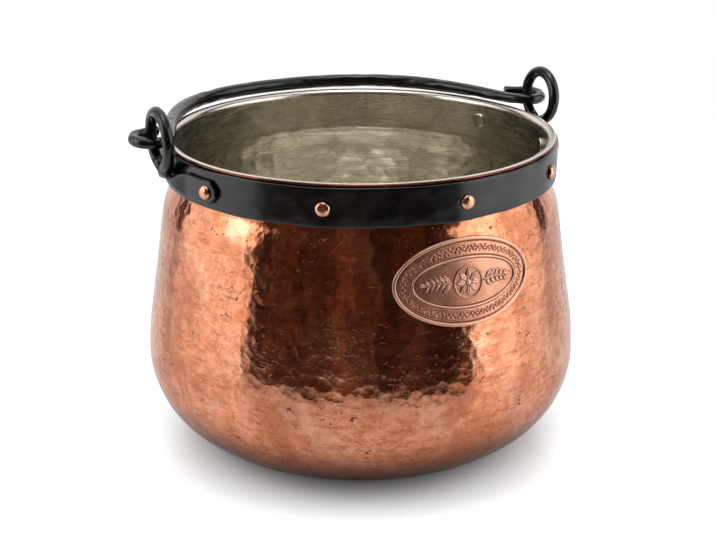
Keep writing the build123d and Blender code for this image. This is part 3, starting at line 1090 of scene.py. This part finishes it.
def forged_bail(looks):
    """The bail: a bar forged to soft facets, thinned to a round hook at each end."""
    squareness, facet_hollow, end_rounding = 2.25, (0.0062, 0.06), 0.0008
    points, sizes = bail_half()
    points = np.vstack([points[::-1] * np.array([-1, 1, 1]), points[1:]])
    sizes = np.concatenate([sizes[::-1], sizes[1:]])
    points += np.array([bail_shift, 0, axis_height])
    up = np.array([0, 0, 1.0])
    stations = []
    for point, way, size in zip(points, np.gradient(points, axis=0), sizes):
        way = unit(way)
        side = unit(np.cross(way, up))
        stations.append((point, side, np.cross(side, way), size, size, squareness))
    rings = bar_rings(stations, bail_columns)
    rng = np.random.default_rng(31)
    rings = dent_bar(rings, rng, looks.facet_pitch, looks.facet_depth, facet_hollow)
    return ring_mesh("forged_bail", close_ends(rings, end_rounding))


def rivet_rings(seat, has_inner_head, rng):
    """Rings round one rivet along +X: an optional flat inner head, the shank and a dome flattened
    on top.
    """
    shank, rounding, tin_gap = 0.0025, 0.0007, 0.00002
    dome_power, side_power, foot_share = 0.92, 0.9, 0.985
    flat_share, flattening, seat_shade_reach = 0.93, 0.25, 0.8
    facet_depth, facet_turns = 0.035, 2.5
    turns = full_turn(rivet_columns)
    inner_end = sqrt(inside_radius**2 - inner_head**2 / 4) - tin_gap
    outline = [(inner_end, shank), (seat, shank)]
    if has_inner_head:
        low = inner_end - inner_head_thickness
        half = inner_head / 2
        face = [(low, half * share) for share in (0.12, 0.35, 0.6, 0.78)]
        corner = [
            (low + rounding * (1 - cos(a)), half - rounding + rounding * sin(a))
            for a in np.radians((0, 22, 45, 68, 90))
        ]
        outline = face + corner + [(inner_end, half)] + outline
    else:
        outline = [(inner_end, shank * share) for share in (0.3, 0.7)] + outline
    half = rivet_head / 2
    outline.append((seat, half * foot_share))
    visible = len(outline)
    for swing in np.radians(np.linspace(4, 86, 15)):
        rise = rivet_dome * sin(swing) ** dome_power
        outline.append((seat + rise, half * cos(swing) ** side_power))
    section = np.array(outline)
    # Share clear of the painted shade at the seat: 0 at the seat, 1 from part way up the dome
    seat_shade_fade = np.zeros((len(section), rivet_columns))
    seat_shade_fade[visible:] = ease(0.0, rivet_dome * seat_shade_reach, section[visible:, 0] - seat)[:, None]
    flat = rivet_dome * flat_share
    rise = section[:, 0, None] - seat + 0 * turns
    top = seat + np.where(rise > flat, flat + (rise - flat) * flattening, rise)
    along = np.where(rise > 0, top, section[:, 0, None] + 0 * turns)
    facets = np.abs(np.sin(facet_turns * turns + rng.uniform(0, pi)))
    radii = section[:, 1, None] * (1 - facet_depth * facets * (rise > 0))
    return np.stack([along, radii * np.cos(turns), radii * np.sin(turns)], -1), seat_shade_fade


def set_of_rivets(name, seat, has_inner_head, azimuths, seed):
    """Rivets at several azimuths in one mesh, each its own closed shell."""
    rng = np.random.default_rng(seed)
    meshes, seat_shade_fades, tin = [], [], []
    for azimuth in azimuths:
        rings, seat_shade_fade = rivet_rings(seat, has_inner_head, rng)
        tinned = rings[..., 0] < inside_radius + tin_wall
        tin.append(np.concatenate([tinned.ravel(), [1, 0]]))
        turn = radians(azimuth)
        x, y = rings[..., 0].copy(), rings[..., 1].copy()
        rings[..., 0] = x * cos(turn) - y * sin(turn)
        rings[..., 1] = x * sin(turn) + y * cos(turn)
        rings[..., 2] += rivet_level
        meshes.append(ring_mesh(name, rings))
        seat_shade_fades.append(np.concatenate([seat_shade_fade.ravel(), [seat_shade_fade[0].mean(), 1.0]]))
    joined = join_meshes(name, meshes)
    store(joined, "seat_shade_fade", np.concatenate(seat_shade_fades))
    store(joined, "tinned", np.concatenate(tin))
    for mesh in meshes:
        bpy.data.meshes.remove(mesh)
    return joined


def rounded(distance, half):
    """Height from 0 to 1 of a rounded ridge, at a distance from its middle line."""
    return np.sqrt(np.clip(1 - (distance / half) ** 2, 0, 1))


def leaf(across, up, middle, angle, length, width):
    """Height from 0 to 1 of a leaf-shaped swell with a sunk middle vein."""
    point_power, vein_width, vein_depth, vein_length = 1.7, 0.09, 0.45, 0.8
    turn = radians(angle)
    x = (across - middle[0]) * cos(turn) + (up - middle[1]) * sin(turn)
    y = (up - middle[1]) * cos(turn) - (across - middle[0]) * sin(turn)
    share = np.clip(np.abs(x) / (length / 2), 0, 1)
    half = width / 2 * (1 - share**point_power)
    body = rounded(y, np.maximum(half, 1e-6)) * (share < 1)
    vein = np.exp(-((y / (width * vein_width)) ** 2)) * vein_depth
    return body * (1 - vein * (share < vein_length))


def field_ornament(across, up):
    """A plain rosette with a leaf spray to each side, heights from 0 to 1."""
    petals, petal_place, petal_size = 8, 0.0047, (0.0066, 0.0036)
    boss_radius, boss_rise = 0.0019, 1.15
    ring_radius, ring_half, ring_rise = 0.0092, 0.0005, 0.8
    stem_start, stem_end, stem_half, stem_rise = 0.0100, 0.0262, 0.00045, 0.75
    bend_start, bend_length, bend_height, bend_turn = 0.0105, 0.0165, 0.0011, 1.15 * pi
    leaf_pairs, first_leaf, leaf_step, leaf_angle = 5, 0.0125, 0.0030, 48

    def bend(place):
        return bend_height * np.sin((place - bend_start) / bend_length * bend_turn)

    height = np.zeros_like(across)
    radius = np.hypot(across, up)
    for n in range(petals):
        angle = n * 360 / petals
        middle = (petal_place * cos(radians(angle)), petal_place * sin(radians(angle)))
        height = np.maximum(height, leaf(across, up, middle, angle, *petal_size))
    height = np.maximum(height, boss_rise * rounded(radius, boss_radius))
    height = np.maximum(height, ring_rise * rounded(radius - ring_radius, ring_half))
    side = np.abs(across)
    on_stem = (side > stem_start) & (side < stem_end)
    height = np.maximum(height, stem_rise * rounded(up - bend(side), stem_half) * on_stem)
    for n in range(leaf_pairs):
        place = first_leaf + leaf_step * n
        length, width = 0.0066 - 0.0007 * n, 0.0027 - 0.0002 * n
        for flip in (1, -1):
            middle = (place + 0.0016, bend(place) + flip * width)
            spray = leaf(side, up, middle, flip * leaf_angle, length, width)
            height = np.maximum(height, spray)
    tip = leaf(side, up, (0.0281, 0.0006), -4, 0.0052, 0.0024)
    return np.maximum(height, tip)


def border_chain(share, inset, count, middle, girth):
    """A running stem with curling leaves, heights from 0 to 1; share runs once round the plaque."""
    stem_wave, stem_half, stem_rise = 0.00075, 0.00034, 0.8
    wave_share = 0.9
    place = share * count
    step = girth / count
    x = (place - np.floor(place) - 0.5) * step
    flip = np.where(np.floor(place).astype(int) % 2 == 0, 1.0, -1.0)
    y = (inset - middle) * flip
    wave = stem_wave * np.cos(x / step * pi)
    height = stem_rise * rounded(y - wave * wave_share, stem_half)
    for spot, angle, length, width in (
        ((-0.0008, -0.0009), -52, 0.0026, 0.0012),
        ((0.0014, -0.0007), 38, 0.0024, 0.0011),
        ((0.0002, 0.0016), 8, 0.0016, 0.0009),
    ):
        height = np.maximum(height, leaf(x, y, spot, angle, length, width))
    return height


def groove(inset, place, half):
    """Depth from 0 to 1 of a soft groove along the plaque's edge."""
    return np.exp(-(((inset - place) / half) ** 2))


def oval_plaque(looks):
    """The plaque: rim bead, groove, border chain, raised line and ornament, bent to the belly."""
    field_gap, ring_pitch, field_rings, field_end = 0.0008, 0.00019, 66, 0.02
    groove_offset, groove_half = 0.0003, 0.00035
    line_groove_offset, line_groove_half = 0.0002, 0.00030
    groove_depth, chain_depth, stipple_height = 0.0003, 0.00042, 0.00005
    chain_line, chain_shift = 0.006, 0.0001
    relief_room = 0.0001
    skirt_rings, skirt_sink, base_sink = 6, 0.0006, 0.0007
    turns = full_turn(plaque_columns)
    half_length, half_width = plaque_length / 2, plaque_width / 2
    line_end = inner_line_inset + inner_line_width
    field_start = line_end + field_gap
    insets = np.concatenate([np.arange(0, field_start, ring_pitch), [field_start]])
    inset = insets[:, None] + 0 * turns
    shrink = np.linspace(1, field_end, field_rings)[1:, None]
    field_across = (half_length - field_start) * np.cos(turns) * shrink
    field_up = (half_width - field_start) * np.sin(turns) * shrink

    rim = rounded(inset - plaque_rim_width / 2, plaque_rim_width / 2) * (inset <= plaque_rim_width)
    line = rounded(inset - inner_line_inset - inner_line_width / 2, inner_line_width / 2)
    grooves = groove(inset, plaque_rim_width + groove_offset, groove_half)
    grooves = grooves + groove(inset, inner_line_inset - groove_offset, groove_half)
    grooves = grooves + groove(inset, line_end + line_groove_offset, line_groove_half)
    grooves = np.clip(grooves, 0, 1)

    speed = np.hypot(
        (half_length - chain_line) * np.sin(turns), (half_width - chain_line) * np.cos(turns)
    )
    girth = speed.mean() * 2 * pi
    walked = np.concatenate([[0], np.cumsum((speed + np.roll(speed, -1)) / 2)[:-1]])
    share = walked[None, :] / speed.sum() + 0 * inset
    border_middle = (plaque_rim_width + inner_line_inset) / 2 + chain_shift
    chain = border_chain(share, inset, looks.leaf_count * 2, border_middle, girth)
    in_border = ease(plaque_rim_width + 0.0004, plaque_rim_width + 0.0009, inset)
    in_border = in_border * (1 - ease(inner_line_inset - 0.0009, inner_line_inset - 0.0004, inset))
    chain = chain * in_border
    rng = np.random.default_rng(41)
    stipple = rng.uniform(-1, 1, inset.shape)
    stipple = (stipple + np.roll(stipple, 1, 1) + np.roll(stipple, 1, 0)) / 3
    stipple = stipple * in_border * (1 - chain)

    flat_height = plaque_thickness - relief_room
    rise = flat_height + (plaque_rim_height - flat_height) * rim
    rise = np.maximum(rise, flat_height + (inner_line_height - flat_height) * line)
    rise = rise - groove_depth * grooves * (rim < 0.3)
    rise = rise - chain_depth * chain + stipple_height * stipple
    ornament = field_ornament(field_across, field_up)
    field_rise = flat_height + looks.relief * ornament

    around, away = half_length * np.cos(turns), half_width * np.sin(turns)
    base_shares = np.array([0.35, 0.7, 0.999])[:, None]
    skirt_rise = np.linspace(-skirt_sink, rise.mean(1)[0], skirt_rings)[:-1, None] + 0 * turns
    border_across = (half_length - inset) * np.cos(turns)
    border_up = (half_width - inset) * np.sin(turns)
    across = [around * base_shares, around + 0 * skirt_rise, border_across, field_across]
    up = [away * base_shares, away + 0 * skirt_rise, border_up, field_up]
    heights = np.vstack([0 * across[0] - base_sink, skirt_rise, rise, field_rise])
    mesh = ring_mesh("oval_plaque", on_belly(np.vstack(across), np.vstack(up), heights))

    turn_step = np.diff(ornament, axis=1, append=ornament[:, :1])
    ring_step = np.diff(ornament, axis=0, append=ornament[-1:])
    slope = np.hypot(turn_step, ring_step)
    border = len(base_shares) + len(skirt_rise)
    field = border + len(insets)
    hollow = np.ones(heights.shape)
    raised = np.zeros(heights.shape)
    hollow[border:field] = np.clip(0.95 * grooves * (rim < 0.4) + chain * 0.9, 0, 1)
    raised[border:field] = np.clip(rim + line, 0, 1)
    hollow[field:] = np.clip(2.2 * slope * (ornament < 0.75), 0, 0.8)
    raised[field:] = ornament * 0.9
    store(mesh, "hollow", hollow)
    store(mesh, "raised", raised)
    return mesh


def on_belly(across, up, rise):
    """Points of the plaque's own plane, pressed onto the pot's side with a rise above it."""
    step, lowest, narrowest = 0.001, 0.03, 0.1
    rows = walk_outline(step)
    radii, levels, headings = rows[:, 0], rows[:, 1], rows[:, 2]
    side = (levels > lowest) & (levels < neck_foot + step) & (radii > narrowest)
    tilt = radians(plaque_tilt)
    level = across * cos(tilt) - up * sin(tilt)
    height = pot_height - plaque_drop + across * sin(tilt) + up * cos(tilt)
    radius = np.interp(height, levels[side], radii[side])
    heading = np.interp(height, levels[side], headings[side])
    azimuth = radians(plaque_azimuth - 90) + np.arcsin(level / radius)
    radius = radius + rise * np.sin(heading)
    height = height - rise * np.cos(heading)
    return np.stack([radius * np.cos(azimuth), radius * np.sin(azimuth), height], -1)


def band_azimuths(middle):
    """Azimuths of three hoop rivets about the middle one."""
    return [middle - band_rivet_pitch, middle, middle + band_rivet_pitch]


class CAULDRON_OT_pot(bpy.types.Operator):
    """Hammer the copper pot"""

    bl_idname = "cauldron.pot"
    bl_label = "Copper pot"

    def execute(self, context):
        looks = context.scene.cauldron.pot
        mesh, metal = copper_pot(looks), pot_copper(looks)
        show("copper_pot", mesh, metal, "pot", "hammered_copper", "pot_body")
        return {"FINISHED"}


class CAULDRON_OT_lining(bpy.types.Operator):
    """Tin the inside"""

    bl_idname = "cauldron.lining"
    bl_label = "Tin lining"

    def execute(self, context):
        looks = context.scene.cauldron.lining
        show("tin_inside", tin_inside(looks), lining_tin(looks), "pot", "tin", "tin_lining")
        return {"FINISHED"}


class CAULDRON_OT_iron(bpy.types.Operator):
    """Forge the hoop, the two ears and the bail"""

    bl_idname = "cauldron.iron"
    bl_label = "Hoop, ears and bail"

    def execute(self, context):
        looks = context.scene.cauldron.iron
        iron = forged_iron(looks)
        show("iron_hoop", iron_hoop(), iron, "pot", "black_iron", "rim_band")
        for name, node, stand, side, seed in (
            ("right_forged_ear", "right_ear", right_stand, 1, 51),
            ("left_forged_ear", "left_ear", left_stand, -1, 52),
        ):
            mesh = forged_ear(name, looks, stand, side, seed)
            show(name, mesh, iron, "pot", "black_iron", node)
        show("forged_bail", forged_bail(looks), iron, "bail", "black_iron", "bail_handle")
        return {"FINISHED"}


class CAULDRON_OT_rivets(bpy.types.Operator):
    """Set the copper rivets"""

    bl_idname = "cauldron.rivets"
    bl_label = "Rivets"

    def execute(self, context):
        metal = rivet_metal(context.scene.cauldron.rivets)
        spread = ear_rivet_angle
        for node, seat, has_inner_head, azimuths in (
            ("right_ear_rivets", tab_outer, True, [-spread, spread]),
            ("left_ear_rivets", tab_outer, True, [180 - spread, 180 + spread]),
            ("front_band_rivets", band_outer, False, band_azimuths(band_rivet_turn - 90)),
            ("back_band_rivets", band_outer, False, band_azimuths(band_rivet_turn + 90)),
        ):
            name = "domed_" + node
            mesh = set_of_rivets(name, seat, has_inner_head, azimuths, len(name))
            show(name, mesh, metal, "pot", "rivet_copper", node)
        return {"FINISHED"}


class CAULDRON_OT_plaque(bpy.types.Operator):
    """Stamp the oval plaque"""

    bl_idname = "cauldron.plaque"
    bl_label = "Plaque"

    def execute(self, context):
        looks = context.scene.cauldron.plaque
        mesh, metal = oval_plaque(looks), plaque_metal(looks)
        show("stamped_plaque", mesh, metal, "pot", "plaque_copper", "oval_plaque")
        return {"FINISHED"}


def photo_direction(relative, elevation=0.0):
    """The direction at an azimuth to the right of the camera's side, as seen by the camera."""
    turn, lift = radians(camera_azimuth + relative), radians(elevation)
    return Vector((cos(turn) * cos(lift), sin(turn) * cos(lift), sin(lift)))


def add_camera():
    """The camera at the photograph's place and angle."""
    camera = bpy.data.objects.new("camera", bpy.data.cameras.new("camera"))
    bpy.context.scene.collection.objects.link(camera)
    camera.data.lens = camera_lens
    camera.data.clip_start, camera.data.clip_end = camera_clip
    target = Vector((0, 0, pot_height))
    camera.location = target + photo_direction(0, camera_elevation) * camera_distance
    ahead = photo_direction(180 + camera_aside, -camera_down)
    right = ahead.cross(Vector((0, 0, 1))).normalized()
    up = right.cross(ahead)
    camera.rotation_euler = Matrix((right, up, -ahead)).transposed().to_euler()
    bpy.context.scene.camera = camera


def soft_lamp(name, relative, distance, width, height, lift, radiance):
    """A rectangular lamp that faces the pot from one side."""
    data = bpy.data.lights.new(name, "AREA")
    data.shape = "RECTANGLE"
    data.size, data.size_y = width, height
    data.energy = radiance * pi * width * height
    data.color = lamp_colour
    lamp = bpy.data.objects.new(name, data)
    bpy.context.scene.collection.objects.link(lamp)
    lamp.location = photo_direction(relative) * distance + Vector((0, 0, lift + height / 2))
    lamp.rotation_euler = (-photo_direction(relative)).to_track_quat("-Z", "Y").to_euler()
    return lamp


def studio_world(looks):
    """White behind the pot, white all round for the camera alone, and a dim room in front."""
    white_start, white_end = 128, 134
    sky_start, sky_end, sky_white = 42, 70, 0.95
    least_flat = 0.05
    world = bpy.data.worlds.new("studio")
    bpy.context.scene.world = world
    world.use_nodes = True
    tree = world.node_tree
    tree.nodes.clear()
    place = add_node(tree, "ShaderNodeTexCoord").outputs["Generated"]
    front = photo_direction(0)
    ahead = add_node(tree, "ShaderNodeVectorMath", {0: place, 1: front}, operation="DOT_PRODUCT")
    level = add_node(tree, "ShaderNodeSeparateXYZ", {0: place}).outputs["Z"]
    flat = calculate(tree, "SUBTRACT", 1.0, calculate(tree, "MULTIPLY", level, level))
    flat = calculate(tree, "MAXIMUM", calculate(tree, "SQRT", flat), least_flat)
    facing = calculate(tree, "DIVIDE", ahead.outputs["Value"], flat)
    behind = ramp(tree, facing, cos(radians(white_start)), cos(radians(white_end)))
    overhead = ramp(tree, level, sin(radians(sky_start)), sin(radians(sky_end)), 0, sky_white)
    share = calculate(tree, "MAXIMUM", behind, overhead)
    path = add_node(tree, "ShaderNodeLightPath")
    share = calculate(tree, "MAXIMUM", share, path.outputs["Is Camera Ray"])
    side = add_node(tree, "ShaderNodeVectorMath", {0: place, 1: (1, 1, 0)}, operation="MULTIPLY")
    upright = add_node(tree, "ShaderNodeVectorMath", {0: side.outputs[0]}, operation="NORMALIZE")
    glow = ramp(tree, noise(tree, upright.outputs[0], 8, 3, 0.6), 0.48, 0.64)
    room = mix(tree, glow, looks.room_colour, looks.room_glow)
    colour = mix(tree, share, room, (1, 1, 1))
    sky = add_node(tree, "ShaderNodeBackground", {"Color": colour, "Strength": 1.0})
    output = add_node(tree, "ShaderNodeOutputWorld")
    tree.links.new(sky.outputs[0], output.inputs[0])


def pale_floor(looks):
    """The floor: satin white, lifted to white for the camera away from the pot, with the lift kept
    low near the pot as a painted contact shadow round it.
    """
    middle_share, rim_share, rings = 0.02, 0.998, 24
    front_start, front_end = 57, 51
    top_level, thickness = -0.0002, 0.002
    painted_shadow_lift = 0.03
    turns = full_turn(floor_columns)
    ahead = np.cos(turns - radians(camera_azimuth))
    in_front = ease(cos(radians(front_start)), cos(radians(front_end)), ahead)
    reach = looks.floor_side + (looks.floor_front - looks.floor_side) * in_front
    shares = np.append(np.linspace(middle_share, rim_share, rings), 1)
    radii = shares[:, None] * reach
    top = spin(radii, 0 * radii + top_level, turns[None, :])
    under = top[::-1] - np.array([0, 0, thickness])
    mesh = ring_mesh("floor", np.concatenate([top, under])[::-1])
    material, tree, shader, place = new_material("pale_floor")
    colour = (*looks.floor_colour, 1)
    feed(tree, shader, Base_Color=colour, Roughness=0.22, Specular_IOR_Level=0.45)
    path = add_node(tree, "ShaderNodeLightPath")
    out = add_node(tree, "ShaderNodeVectorMath", {0: place}, operation="LENGTH").outputs["Value"]
    # Painted shadow: the camera's lift is small near the pot and grows with distance, darkening a
    # ring of floor round the pot as a contact shadow
    lift = ramp(tree, out, looks.painted_shadow_start, looks.painted_shadow_end, painted_shadow_lift, looks.floor_lift)
    lift = calculate(tree, "MULTIPLY", path.outputs["Is Camera Ray"], lift)
    feed(tree, shader, Emission_Color=(0.96, 1, 1, 1), Emission_Strength=lift)
    mesh.materials.append(material)
    floor = bpy.data.objects.new("floor", mesh)
    bpy.context.scene.collection.objects.link(floor)


class CAULDRON_OT_stage(bpy.types.Operator):
    """Set the floor, the lamps, the backdrop and the camera"""

    bl_idname = "cauldron.stage"
    bl_label = "Stage"

    def execute(self, context):
        looks = context.scene.cauldron.stage
        add_camera()
        studio_world(looks)
        pale_floor(looks)
        for name, relative, lift, height, share in (
            ("left_low_lamp", -71.5, 0.0, left_split, 0.62),
            ("left_lamp", -71.5, left_split, lamp_height - left_split, 1.2),
            ("left_rear_lamp", -98.5, 0.0, lamp_height, 0.55),
            ("right_lamp", 69.5, 0.0, lamp_height, 1.0),
            ("right_rear_lamp", 98.5, 0.0, lamp_height, 0.6),
        ):
            radiance = looks.lamp_radiance * share
            soft_lamp(name, relative, lamp_distance, lamp_width, height, lift, radiance)
        side, lift = top_lamp_side, top_lamp_height - top_lamp_side / 2
        top = soft_lamp("top_lamp", 0, 0, side, side, lift, looks.top_radiance)
        top.rotation_euler = (0, 0, 0)
        context.scene.view_settings.view_transform = "Standard"
        return {"FINISHED"}


class CAULDRON_PT_panel(bpy.types.Panel):
    """Buttons and settings of the cauldron"""

    bl_idname = "CAULDRON_PT_panel"
    bl_label = "Cauldron"
    bl_space_type = "VIEW_3D"
    bl_region_type = "UI"
    bl_category = "Cauldron"

    def draw(self, context):
        looks = context.scene.cauldron
        for maker in MAKERS:
            box = self.layout.box()
            box.operator(maker.bl_idname)
            group = getattr(looks, maker.bl_idname.split(".")[1])
            for name in group.bl_rna.properties.keys():
                if name not in ("rna_type", "name"):
                    box.prop(group, name)


MAKERS = (
    CAULDRON_OT_pot,
    CAULDRON_OT_lining,
    CAULDRON_OT_iron,
    CAULDRON_OT_rivets,
    CAULDRON_OT_plaque,
    CAULDRON_OT_stage,
)
LOOKS = (PotLooks, LiningLooks, IronLooks, RivetLooks, PlaqueLooks, StageLooks, CauldronLooks)


def register():
    """Add the settings, the buttons and the panel."""
    for kind in (*LOOKS, *MAKERS, CAULDRON_PT_panel):
        bpy.utils.register_class(kind)
    bpy.types.Scene.cauldron = PointerProperty(type=CauldronLooks)


def unregister():
    """Take the settings, the buttons and the panel away."""
    del bpy.types.Scene.cauldron
    for kind in reversed((*LOOKS, *MAKERS, CAULDRON_PT_panel)):
        bpy.utils.unregister_class(kind)


def main():
    """Build every piece and the stage."""
    register()
    for maker in MAKERS:
        group, name = maker.bl_idname.split(".")
        getattr(getattr(bpy.ops, group), name)()


if __name__ == "__main__":
    main()
